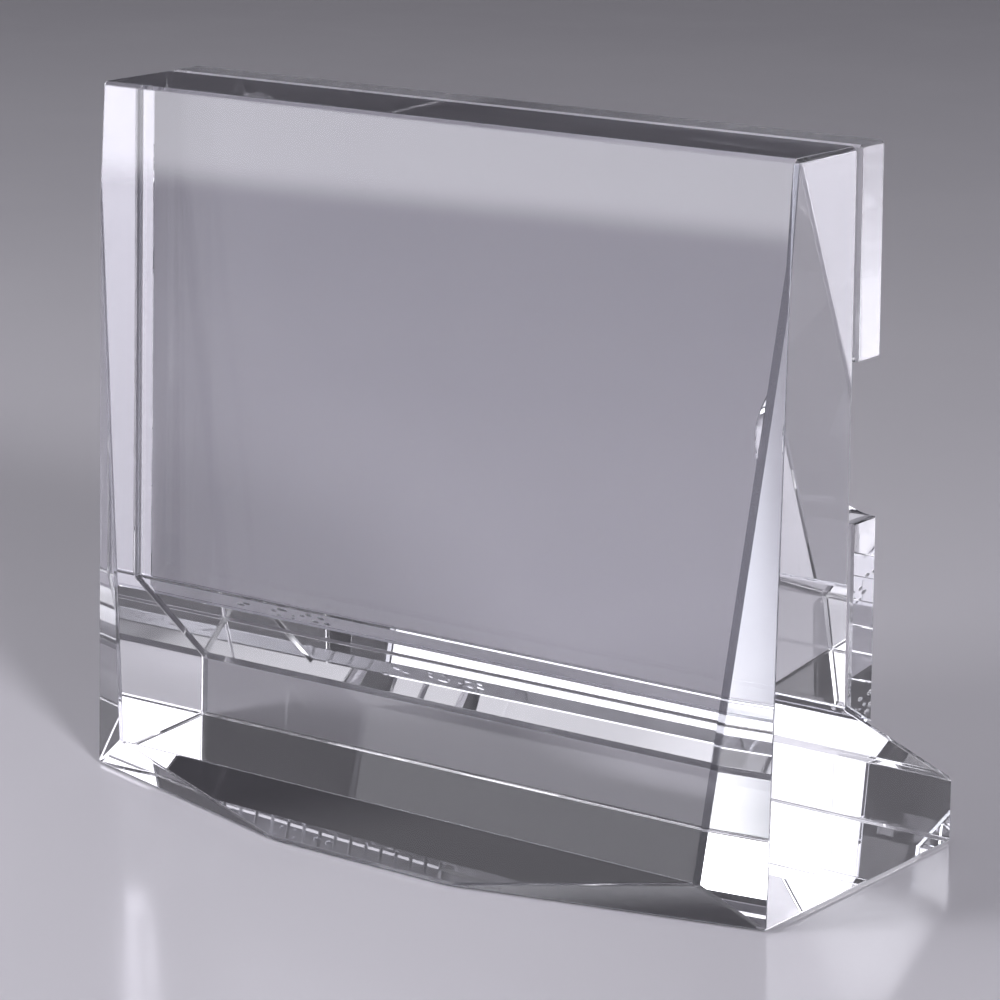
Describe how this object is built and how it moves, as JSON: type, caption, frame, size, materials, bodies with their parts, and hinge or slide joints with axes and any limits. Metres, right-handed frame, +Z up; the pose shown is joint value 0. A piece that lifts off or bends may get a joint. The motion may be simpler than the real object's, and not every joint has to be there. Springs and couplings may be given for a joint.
{
  "type": "table tent sign holder",
  "caption": "Clear wedge-shaped crystal block with a leaning display face and facet-cut front corners; a rear panel with a thumb notch holds a card upright in a slot behind it.",
  "frame": {"origin": "centre of the footprint, on the surface that the holder stands on", "axes": "+X towards the right-hand end seen from the front (the end with the thumb notch), +Y towards the back, +Z up; the display face looks towards -Y"},
  "size_m": [0.1, 0.0484, 0.085],
  "materials": {
    "block_crystal": "optically clear, cut and polished, with small polished chamfers",
    "panel_crystal": "optically clear flat plate with polished faces and edges"
  },
  "bodies": {
    "root": {"crystal_block": "block_crystal", "rear_panel": "panel_crystal"}
  },
  "joints": []
}
